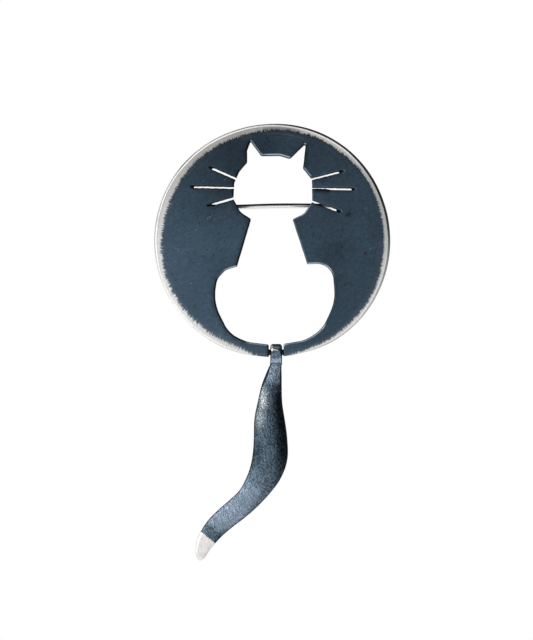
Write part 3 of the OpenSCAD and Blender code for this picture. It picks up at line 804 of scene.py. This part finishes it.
def arc(cx, cy, r, start, end, steps):
    return [(cx + r * cos(radians(start + (end - start) * k / steps)),
             cy + r * sin(radians(start + (end - start) * k / steps))) for k in range(steps + 1)]


def plate_back(x):
    """How far back the plate's back face lies at the pin's height."""
    point, up = dome(np.array([x]), np.array([-DISC_Z]))
    return float((point - up * HALF_T)[0, 1])


def fitting(name, skin, sharp=None):
    return make(name, skin, "brooch", "disc", FITTING, sharp=sharp)


def soldered_pad(name, x, length, width, height=0.5):
    """A pad on the plate's back with a concave run of solder round its foot."""
    start = plate_back(x)
    rings = []
    for depth, grow in ((-0.25, 0.34), (0.0, 0.3), (0.05, 0.16), (0.12, 0.07), (0.24, 0.01),
                        (height - 0.08, 0.0), (height - 0.02, -0.03), (height, -0.09)):
        a, b = length / 2 + grow, width / 2 + grow
        r = 0.12 + max(grow, 0)
        loop = []
        for sx, sz, first in ((1, 1, 0), (-1, 1, 90), (-1, -1, 180), (1, -1, 270)):
            loop += arc(sx * (a - r), sz * (b - r), r, first, first + 90, 5)
        lumps = [0.03 * ripple(p, q, x) if grow > 0.05 else 0 for p, q in loop]
        rings.append([(x + p * (1 + k), start + depth, q * (1 + k)) for (p, q), k in zip(loop, lumps)])
    fitting(name, tube(rings), 60)


soldered_pad("bracket_pad", -PIVOT_X, 3.0, 2 * EAR_OUT)
foot = plate_back(-PIVOT_X) + 0.3
shape = [(-EYE_R, foot), (EYE_R, foot)] + arc(0, 0, EYE_R, 0, 180, 24)
for name, middle in (("bracket_ear_top", EAR_OUT - EAR_T / 2), ("bracket_ear_bottom", -EAR_OUT + EAR_T / 2)):
    heights = middle - EAR_T / 2, middle + EAR_T / 2
    bevel(fitting(name, tube([[(p - PIVOT_X, q, h) for p, q in shape] for h in heights])), 0.09, 3)

# The catch: a round trough, open to the back, on a stalk
soldered_pad("catch_pad", CATCH_X, 2.0, 2 * EAR_OUT)
foot = plate_back(CATCH_X) + 0.3
inner, outer, lip, stalk, lip_r = 0.62, 1.12, 0.9, 1.1, 0.22
start = degrees(asin(stalk / 2 / outer))
shape = [(foot, -stalk / 2)] + arc(0, 0, outer, 180 + start, 270, 12) + [(lip - 0.2, -outer)]
shape += arc(lip - lip_r, -outer + lip_r, lip_r, -90, 0, 4) + [(lip, -inner - 0.06), (lip - 0.06, -inner)]
shape += arc(0, 0, inner, 270, 90, 24) + [(lip - 0.06, inner), (lip, inner + 0.06)]
shape += arc(lip - lip_r, outer - lip_r, lip_r, 0, 90, 4) + arc(0, 0, outer, 90, 180 - start, 12)
shape.append((foot, stalk / 2))
bevel(fitting("catch", tube([[(CATCH_X + h, p, q) for p, q in shape] for h in (-1.0, 1.0)])), 0.07, 2)

# The hinge wire, soldered behind the plate on both sides of the slot
profile = [(-WIRE_HALF, 0), (-WIRE_HALF, 0.45), (-WIRE_HALF + 0.05, 0.55), (-WIRE_HALF + 0.15, WIRE_R),
           (-1.5, WIRE_R), (-1.2, WIRE_R)]
profile += [(-x, r) for x, r in profile[::-1]]
fitting("hinge_wire", lathe(profile, lambda x, y, z: (x + HINGE.x, y + HINGE.y, z + HINGE.z)), 60)

# A run of solder in the corner between the hinge wire and the plate, on both sides of the slot
SOLDER = ((0, 0), (-0.1, 0.62), (0.02, 0.56), (0.18, 0.42), (0.42, 0.36), (0.62, 0.2))    # depth, height
for name, x0, x1 in (("solder_left", -2.9, -1.2), ("solder_right", 2.8, 4.45)):
    steps, verts, faces = 12, [], []
    for side in (1, -1):
        rings = []
        for i in range(steps + 1):
            x = x0 + (x1 - x0) * i / steps
            swell = sin(pi * (i + 0.4) / (steps + 0.8)) ** 0.35 * (1 + 0.12 * ripple(x * 2, 0, 3))
            lowest = DISC_Z + 0.5 - sqrt(DISC_R ** 2 - x * x)
            rings.append([(x, HINGE.y - 0.25 + y,
                           max(lowest, HINGE.z + side * (0.2 + z * (swell if 0 < k < 5 else 1))))
                          for k, (y, z) in enumerate(SOLDER)])
        more, skin = tube(rings)
        faces += [tuple(i + len(verts) for i in f) for f in skin]
        verts += more
    fitting(name, (verts, faces))

# The rivet of the pin's joint, with two low domed heads
top = EAR_OUT + 0.03
profile = [(-top - 0.35, 0), (-top - 0.33, 0.25), (-top - 0.26, 0.5), (-top - 0.14, 0.7), (-top - 0.04, 0.79),
           (-top, 0.78), (-top, RIVET_R), (0, RIVET_R)]
profile += [(-x, r) for x, r in profile[-2::-1]]
rivet = lathe(profile, lambda x, y, z: (y - PIVOT_X, -z, x))
make("rivet", rivet, "brooch", "pin_rivet", FITTING, sharp=60)


def build_pin():
    """The wire runs from its flattened eye to a long point, with the slight bow of a worn pin."""
    around = 32
    # distance from the pivot, half the depth, half the height
    stations = [(0.35, 0.6, 0.66), (0.9, 0.62, 0.66), (1.3, 0.67, 0.67), (1.75, 0.66, 0.66),
                (1.95, 0.58, 0.58), (2.15, PIN_R, PIN_R), (2.6, PIN_R, PIN_R)]
    stations += [(x, PIN_R, PIN_R) for x in np.linspace(3.4, PIVOT_X + POINT_X, 26)]
    for t in (0.12, 0.25, 0.4, 0.55, 0.7, 0.85, 0.94, 1.0):
        r = PIN_R - 0.35 * t ** 1.25
        stations.append((PIVOT_X + POINT_X + (TIP_X - POINT_X) * t, r, r))
    stations += [(PIVOT_X + TIP_X + 0.07, 0.125, 0.125), (PIVOT_X + TIP_X + 0.12, 0.08, 0.08)]
    rings, upper = [], []
    for x, ry, rz in stations:
        sag = 0.09 * bell(x, 21, 7) - 0.2 * bell(x, 9, 5.5) * smooth(1.5, 5, x)
        # painted shade on the wire's upper side, reaching further round near the pivot
        shade_reach = 0.15 + 0.3 * (1 - smooth(11, 14, x))
        rings.append([(x - PIVOT_X, ry * cos(a), rz * sin(a) + sag) for a in turns(around)])
        upper += [sin(a) + shade_reach for a in turns(around)]
    verts, faces = tube(rings)
    last = faces.pop()
    faces += [(last[k], last[(k + 1) % around], len(verts)) for k in range(around)]
    return (verts + [(TIP_X + 0.145, 0, 0)], faces), {"upper": upper + [0]}


skin, data = build_pin()
make("pin_wire", skin, "pin", "pin_stem", STEEL, attributes=data)
hole = RIVET_R + 0.05
section = [(EYE_W / 2 - 0.12, EYE_R), (EYE_W / 2 - 0.03, EYE_R - 0.05), (EYE_W / 2, EYE_R - 0.14),
           (EYE_W / 2, hole + 0.08), (EYE_W / 2 - 0.05, hole)]
section += [(-h, r) for h, r in section[::-1]]
rings = [[(r * cos(a) - PIVOT_X, r * sin(a), h) for h, r in section] for a in turns(48)]
make("pin_eye", tube(rings, closed=True), "pin", "pin_stem", STEEL, sharp=50)


# The tail
def tail_row(t):
    """A row of the tail's table at any place, on a smooth curve through the rows."""
    rows = np.array(TAIL)
    i = min(int(t), len(rows) - 2)
    f = t - i
    p, q, r, s = (rows[min(max(j, 0), len(rows) - 1)] for j in (i - 1, i, i + 1, i + 2))
    return q + f * ((r - p) + f * ((2 * p - 5 * q + 4 * r - s) + f * (3 * q - p - 3 * r + s))) / 2


def taken_off(x, half, r):
    """What an edge of radius r takes off a strip's face at a place x from its middle."""
    return r - sqrt(max(0.0, r ** 2 - max(0.0, x - (half - r)) ** 2))


def dent(p, amount):
    """Marks of the hammer and grains of the surface, as a depth in millimetres."""
    v = Vector(p)
    return amount * (0.035 * noise.noise(v * 0.9) + 0.018 * noise.noise(v * 2.6 + Vector((9, 4, 1)))
                     + 0.010 * noise.noise(v * 5.5 + Vector((2, 8, 5))))


def cap(ring, away, steps):
    """Smaller rings beyond an end, which close it softly: how much smaller, and how far away."""
    centre = np.mean(ring, axis=0)
    return [[tuple(centre + (np.array(p) - centre) * shrink + np.array(away) * push) for p in ring]
            for shrink, push in steps]


def build_tail():
    across = 34
    spread = [-0.55 * cos(pi * k / (across - 1)) + 0.45 * (-1 + 2 * k / (across - 1))
              for k in range(across)]
    # front (-1) or back (1) face, and the place across it
    section = [(-1, a) for a in spread] + [(1, a) for a in spread[::-1]]
    # a mark says how pale its ring is (partly painted light and shade), how wide the left wall, how much
    # to darken (painted shade on the knuckle's top), where the dark edge starts (painted shade on the
    # sides)
    rings, marks = [], []
    # the roll, from its front end over the wire and down to the back
    for i in range(ROLL_RINGS):
        facing = ROLL * (1 - i / (ROLL_RINGS - 1))
        angle = radians(facing)
        ring = []
        for face, a in section:
            x = a * STRIP_W / 2
            soft = taken_off(abs(x), STRIP_W / 2, ROLL_SOFT if face > 0 else STRIP_SOFT)
            r = BORE_R + STRIP_T / 2 + face * (STRIP_T / 2 - soft)
            r += 0.03 * ripple(x * 1.3, i * 0.1, 7) if face > 0 else 0
            ring.append((x, r * cos(angle), r * sin(angle)))
        rings.append(ring)
        marks.append((0, -0.12, 0.02 - 0.5 * smooth(150, 120, facing), 0.78 - 0.9 * smooth(124, 108, facing)))
    last = len(TAIL) - 1
    for t in [*np.linspace(0.25, 4, 22), *np.linspace(4, last, (last - 4) * 12 + 1)[1:]]:
        x, drop, half, depth, thick = tail_row(t)
        ahead = tail_row(min(last, t + 0.05)) - tail_row(max(0, t - 0.05))
        line = unit([ahead[0], -ahead[1]])
        crown, turn = (np.interp(drop, [b[0] for b in BLADE], [b[k] for b in BLADE]) for k in (1, 2))
        spare = max(0.0, half - STRIP_W / 2)
        lean = tan(radians(turn))
        depth += (crown - CROWN) * spare / 2
        forged = smooth(1.6, 5.0, drop)
        amount = smooth(2.4, 6.0, drop) * (1 - 0.75 * smooth(36, 39, drop))
        ring = []
        for face, a in section:
            blend = smooth(0.2, 1.6, drop) if face < 0 else 1
            soft = taken_off(abs(a) * half, half, ROLL_SOFT + (STRIP_SOFT - ROLL_SOFT) * blend)
            s = (1 - forged) * (1 - soft / (thick / 2)) + forged * (1 - 1.1 * taken_off(abs(a), 1, 0.5))
            out = a * half
            y = depth + face * s * thick / 2 - crown * spare * (1 - a * a) + out * lean
            p = (x - out * line[1], y, -drop + out * line[0])
            ring.append((p[0], y + face * dent(p, amount) * (1 - abs(a) ** 6), p[2]))
        rings.append(ring)
        # neck and lower blade paler: partly paler patina, partly painted light; darker just above the tip
        pale = 1.35 - 1.35 * smooth(5.5, 6.7, drop) + 1.4 * smooth(22, 33.4, drop)
        pale += 1.1 * (1 - smooth(1.75, 1.95, drop)) - 1.25 * smooth(33.8, 36.4, drop)
        wide = 0.16 + 0.16 * bell(drop, 5.5, 2.5)
        marks.append((pale, 0.24 * bell(drop, 5.2, 1.7) / half, 0.0, 1 - wide / half))

    end = radians(ROLL)
    start = cap(rings[0], (0, -sin(end), cos(end)), [(0.80, 0.07), (0.93, 0.045), (0.985, 0.015)])
    ahead = tail_row(last) - tail_row(last - 0.1)
    finish = cap(rings[-1], unit([ahead[0], ahead[3], -ahead[1]]), [(0.92, 0.06), (0.7, 0.12), (0.4, 0.15)])
    verts, faces = tube(start + rings + finish)
    verts = np.array(verts) + np.array(HINGE)
    marks = np.array([marks[0]] * len(start) + marks + [marks[-1]] * len(finish))
    pale, wall, low, edge = (np.repeat(column, len(section)) for column in marks.T)
    side = np.tile([a for _, a in section], len(marks))
    x, y, z = verts.T
    # the bright tip starts along a slanting line; painted shade darkens the blade's right side and the
    # knuckle's top; painted highlights, partly rubbed metal, lie on the swell of the blade, and painted
    # glints on the knuckle
    pale = pale - 0.35 * np.maximum(0, pale) * np.maximum(0, side) + low
    blade = smooth(-37.2, -39.5, z) * smooth(-58, -50, z)
    pale -= 0.85 * blade * smooth(0.0, 0.9, side) + 0.3 * blade * smooth(0.2, 0.8, -side)
    pale -= 0.25 * smooth(-46, -50, z) * smooth(0.1, 0.9, -side) * smooth(-66, -58, z)
    pale -= 0.5 * smooth(-52, -57, z) * smooth(0.3, 0.95, side)
    rub = np.maximum(bell(x, -1.75, 0.8) * bell(z, -39.9, 2.1),
                     0.6 * bell(x, -2.45, 0.75) * bell(z, -43.6, 1.8))
    glint = np.maximum.reduce([bell(x, gx, wide) * bell(z, gz, tall) * (y < HINGE.y)
                               for gx, gz, wide, tall in GLINTS])
    # painted shade along the side walls, wider on the left at the neck, and over the knuckle's top
    edge = smooth(edge - 0.03, edge + 0.03, np.abs(side) + wall * (side < 0))
    rolled = np.arange(len(x)) < (len(start) + ROLL_RINGS) * len(section)
    return (verts, faces), {"tip": (x + 12.55) * -0.75 + (z + 67.9) * -0.9, "rub": rub, "pale": pale,
                            "edge": edge, "rolled": rolled, "glint": glint}


skin, data = build_tail()
make("tail_strip", skin, "tail", "tail", TAIL_METAL, attributes=data)


# The studio
def floor():
    """A plain pale floor below the brooch."""
    half, height = 1.6, -0.2
    mesh = bpy.data.meshes.new("floor")
    corners = [(x * half, y * half, height) for x, y in ((-1, -1), (1, -1), (1, 1), (-1, 1))]
    mesh.from_pydata(corners, [], [(0, 1, 2, 3)])
    look = {"Base Color": (0.93, 0.93, 0.93), "Roughness": 0.9, "Specular IOR Level": 0.2,
            "Emission Color": (1, 1, 1), "Emission Strength": 0.4}
    mesh.materials.append(material("pale_paper", lambda n, place: look))
    obj = add_object("floor", mesh)
    obj.visible_glossy = False


def softbox(name, place, aim, size, radiance):
    """A rectangular light that looks equally bright from wherever it is seen."""
    light = bpy.data.lights.new(name, "AREA")
    light.shape, light.size, light.size_y = "RECTANGLE", size[0], size[1]
    light.energy = radiance * size[0] * size[1] * pi
    obj = add_object(name, light)
    obj.location = place
    obj.rotation_euler = (Vector(aim) - Vector(place)).to_track_quat("-Z", "Y").to_euler()
    obj.visible_camera = False
    return obj


floor()
AIM = (0, 0, -0.03)
softbox("key_left", (-0.56, -0.42, 0.20), AIM, (0.34, 0.40), 3.4)
softbox("key_top", (-0.05, -0.25, 0.63), AIM, (0.40, 0.16), 2.4)
softbox("overhead", (0.0, -0.1, 1.3), (0, -0.1, -0.2), (2.4, 2.2), 1.3).visible_glossy = False

# A soft studio all round: bright in front and on the left, dim above the camera, nearly black on the right
world = bpy.data.worlds.new("studio")
scene.world = world
world.use_nodes = True
w = Nodes(world.node_tree)
to_x, to_y, height = w.add("SeparateXYZ", w.add("TexCoord")).others()
azimuth = w.math("ARCTAN2", to_x, to_y * -1.0)
turned = abs(azimuth)
degree = radians(1)
front = azimuth.fade(18 * degree, 40 * degree) * azimuth.ramp(-125 * degree, -95 * degree)
level = height.ramp(-0.3, 0.6, 0.86, 0.33, "LINEAR") * height.fade(0.58, 0.74)
level = level * azimuth.ramp(-35 * degree, 22 * degree, 1.12, 0.92, "LINEAR")
behind = turned.ramp(108 * degree, 125 * degree) * turned.ramp(150 * degree, 165 * degree, 0.45, 0.05)
below = height.ramp(-0.14, -0.46, 0.0, 0.88)
light = w.math("MAXIMUM", front * level, w.math("MAXIMUM", behind, below)) + 0.015
seen, fill = (w.add("Background", (1.0, 1.0, 1.0), strength) for strength in (1.0, light))
w.add("OutputWorld", w.add("MixShader", w.add("LightPath"), fill, seen))

# The camera looks up a little from below the brooch, as in the photograph, 0.45 m away
FOCAL_PX, IMAGE_H, SENSOR = 2221.9, 640, 24.0
PITCH = radians(5.4)
camera = bpy.data.cameras.new("camera")
camera.sensor_width = camera.sensor_height = SENSOR
camera.lens = SENSOR * FOCAL_PX / IMAGE_H
camera.clip_start, camera.clip_end = 0.01, 10
viewer = add_object("camera", camera)
viewer.location = (-0.00117, -0.45170, -0.06615)
viewer.rotation_euler = Vector((0, cos(PITCH), sin(PITCH))).to_track_quat("-Z", "Y").to_euler()
scene.camera = viewer
scene.view_settings.view_transform = "Standard"
scene.view_settings.look = "None"
